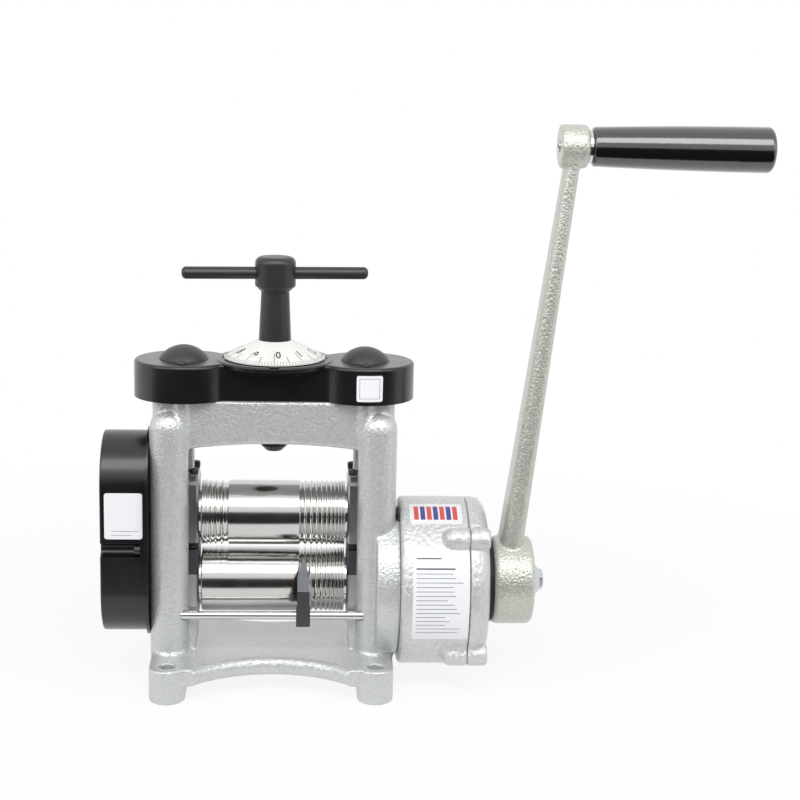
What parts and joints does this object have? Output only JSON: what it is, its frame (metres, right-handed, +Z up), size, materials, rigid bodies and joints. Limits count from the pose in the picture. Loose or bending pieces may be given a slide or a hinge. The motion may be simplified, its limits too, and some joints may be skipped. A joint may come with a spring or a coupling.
{
  "type": "jewellers rolling mill",
  "caption": "Hand cranked bench rolling mill: cast frame, plain and grooved rolls, geared crank, T-handled screw-down with dial and a guarded gear pair.",
  "frame": {"origin": "centre of the four bench-bolt holes, on the plane that the feet stand on", "axes": "+Z up; the rolls lie along X with the crank at +X; the operator stands at -Y and feeds towards +Y"},
  "size_m": [0.5045, 0.1416, 0.4354],
  "materials": {
    "frame_paint": "silver hammertone enamel on a grey iron casting",
    "gearbox_paint": "silver hammertone enamel, coarser, on a grey iron casting",
    "crank_paint": "grey hammertone enamel on a cast crank",
    "roll_steel": "hardened steel, ground and polished to a mirror",
    "ground_steel": "surface-ground steel",
    "dark_steel": "dark oiled steel",
    "bronze": "turned bearing bronze",
    "spring_steel": "drawn spring wire",
    "screw_steel": "turned steel",
    "gear_steel": "cut steel, oiled",
    "zinc_steel": "bright zinc plated steel",
    "bright_steel": "bright drawn and polished steel",
    "black_oxide_steel": "black oxide on turned steel, satin",
    "cover_plastic": "moulded black nylon, satin",
    "dome_plastic": "moulded black nylon, fine grained",
    "dial_enamel": "white enamel with black figures",
    "seal_rubber": "moulded nitrile rubber",
    "grip_plastic": "black phenolic, turned and polished"
  },
  "bodies": {
    "frame": {"frame_casting": "frame_paint", "lower_bearing_blocks": "ground_steel", "keeper_blocks": "dark_steel", "lower_roll_bushes": "bronze", "lift_springs": "spring_steel", "pressure_screw_nuts": "bronze", "idler_pins": "screw_steel", "spindle_bush": "bronze", "top_cover": "cover_plastic", "screw_domes": "dome_plastic", "top_cover_screws": "black_oxide_steel", "gear_guard_backplate": "cover_plastic", "gear_guard_cover": "cover_plastic", "guard_screws": "black_oxide_steel", "guide_rod": "bright_steel", "gearbox_housing": "gearbox_paint", "gearbox_cover": "gearbox_paint", "gearbox_cover_screws": "zinc_steel", "gearbox_flange_screws": "zinc_steel", "ring_gear": "gear_steel", "input_bush": "bronze", "oil_seal": "seal_rubber"},
    "crank": {"input_shaft": "screw_steel", "crank_key": "screw_steel", "crank_arm": "crank_paint", "crank_washer": "zinc_steel", "crank_bolt": "zinc_steel", "handle_spindle": "screw_steel", "handle_collar": "bright_steel", "handle_screw": "zinc_steel"},
    "grip": {"handle_grip": "grip_plastic", "grip_end_cap": "grip_plastic"},
    "lower_roll": {"lower_roll": "roll_steel", "lower_roll_gear": "gear_steel", "lower_roll_circlip": "zinc_steel", "planet_carrier": "screw_steel", "planet_pins": "screw_steel"},
    "planet_1": {"planet_gear_1": "gear_steel"},
    "planet_2": {"planet_gear_2": "gear_steel"},
    "planet_3": {"planet_gear_3": "gear_steel"},
    "carriage": {"upper_bearing_blocks": "ground_steel", "upper_roll_bushes": "bronze", "screw_clips": "ground_steel", "clip_screws": "black_oxide_steel"},
    "upper_roll": {"upper_roll": "roll_steel", "upper_roll_gear": "gear_steel", "upper_roll_circlip": "zinc_steel"},
    "t_handle": {"spindle": "screw_steel", "spindle_nut": "black_oxide_steel", "spindle_pinion": "gear_steel", "dial": "dial_enamel", "t_handle": "black_oxide_steel", "tommy_bar": "black_oxide_steel"},
    "screw_left": {"pressure_screw_left": "screw_steel", "screw_gear_left": "gear_steel"},
    "screw_right": {"pressure_screw_right": "screw_steel", "screw_gear_right": "gear_steel"},
    "idler_left": {"idler_gear_left": "gear_steel"},
    "idler_right": {"idler_gear_right": "gear_steel"},
    "wire_guide": {"wire_guide": "dark_steel"}
  },
  "joints": [
    {"name": "crank_turn", "type": "hinge", "parent": "frame", "child": "crank", "pos_m": [0.19, 0, 0.0782], "axis": [1, 0, 0], "continuous": true},
    {"name": "grip_spin", "type": "hinge", "parent": "crank", "child": "grip", "pos_m": [0.3, 0, 0.418], "axis": [1, 0, 0], "continuous": true},
    {"name": "lower_roll_turn", "type": "hinge", "parent": "frame", "child": "lower_roll", "pos_m": [0, 0, 0.0782], "axis": [1, 0, 0], "continuous": true},
    {"name": "gap_slide", "type": "slide", "parent": "frame", "child": "carriage", "axis": [0, 0, 1], "range_m": [-0.0037, 0.0017], "deforming": ["lift_springs"]},
    {"name": "upper_roll_turn", "type": "hinge", "parent": "carriage", "child": "upper_roll", "pos_m": [0, 0, 0.132], "axis": [1, 0, 0], "continuous": true},
    {"name": "handle_turn", "type": "hinge", "parent": "frame", "child": "t_handle", "pos_m": [0, 0, 0.3], "axis": [0, 0, 1], "range_deg": [-667, 307]},
    {"name": "idler_left_turn", "type": "hinge", "parent": "frame", "child": "idler_left", "pos_m": [-0.0345, 0, 0.233], "axis": [0, 0, 1], "range_deg": [-307, 667]},
    {"name": "idler_right_turn", "type": "hinge", "parent": "frame", "child": "idler_right", "pos_m": [0.0345, 0, 0.233], "axis": [0, 0, 1], "range_deg": [-307, 667]},
    {"name": "screw_left_turn", "type": "hinge", "parent": "carriage", "child": "screw_left", "pos_m": [-0.069, 0, 0.2], "axis": [0, 0, 1], "range_deg": [-667, 307]},
    {"name": "screw_right_turn", "type": "hinge", "parent": "carriage", "child": "screw_right", "pos_m": [0.069, 0, 0.2], "axis": [0, 0, 1], "range_deg": [-667, 307]},
    {"name": "guide_slide", "type": "slide", "parent": "frame", "child": "wire_guide", "axis": [1, 0, 0], "range_m": [-0.078, 0.03]},
    {"name": "planet_1_spin", "type": "hinge", "parent": "lower_roll", "child": "planet_1", "pos_m": [0.125, 0, 0.1142], "axis": [1, 0, 0], "continuous": true},
    {"name": "planet_2_spin", "type": "hinge", "parent": "lower_roll", "child": "planet_2", "pos_m": [0.125, 0.03118, 0.0602], "axis": [1, 0, 0], "continuous": true},
    {"name": "planet_3_spin", "type": "hinge", "parent": "lower_roll", "child": "planet_3", "pos_m": [0.125, -0.03118, 0.0602], "axis": [1, 0, 0], "continuous": true}
  ],
  "couplings": [
    {"joint": "lower_roll_turn", "follows": "crank_turn", "ratio": 0.25},
    {"joint": "upper_roll_turn", "follows": "crank_turn", "ratio": -0.25},
    {"joint": "planet_1_spin", "follows": "crank_turn", "ratio": -0.75},
    {"joint": "planet_2_spin", "follows": "crank_turn", "ratio": -0.75},
    {"joint": "planet_3_spin", "follows": "crank_turn", "ratio": -0.75},
    {"joint": "handle_turn", "follows": "gap_slide", "rad_per_m": 3141.6},
    {"joint": "idler_left_turn", "follows": "gap_slide", "rad_per_m": -3141.6},
    {"joint": "idler_right_turn", "follows": "gap_slide", "rad_per_m": -3141.6},
    {"joint": "screw_left_turn", "follows": "gap_slide", "rad_per_m": 3141.6},
    {"joint": "screw_right_turn", "follows": "gap_slide", "rad_per_m": 3141.6}
  ]
}
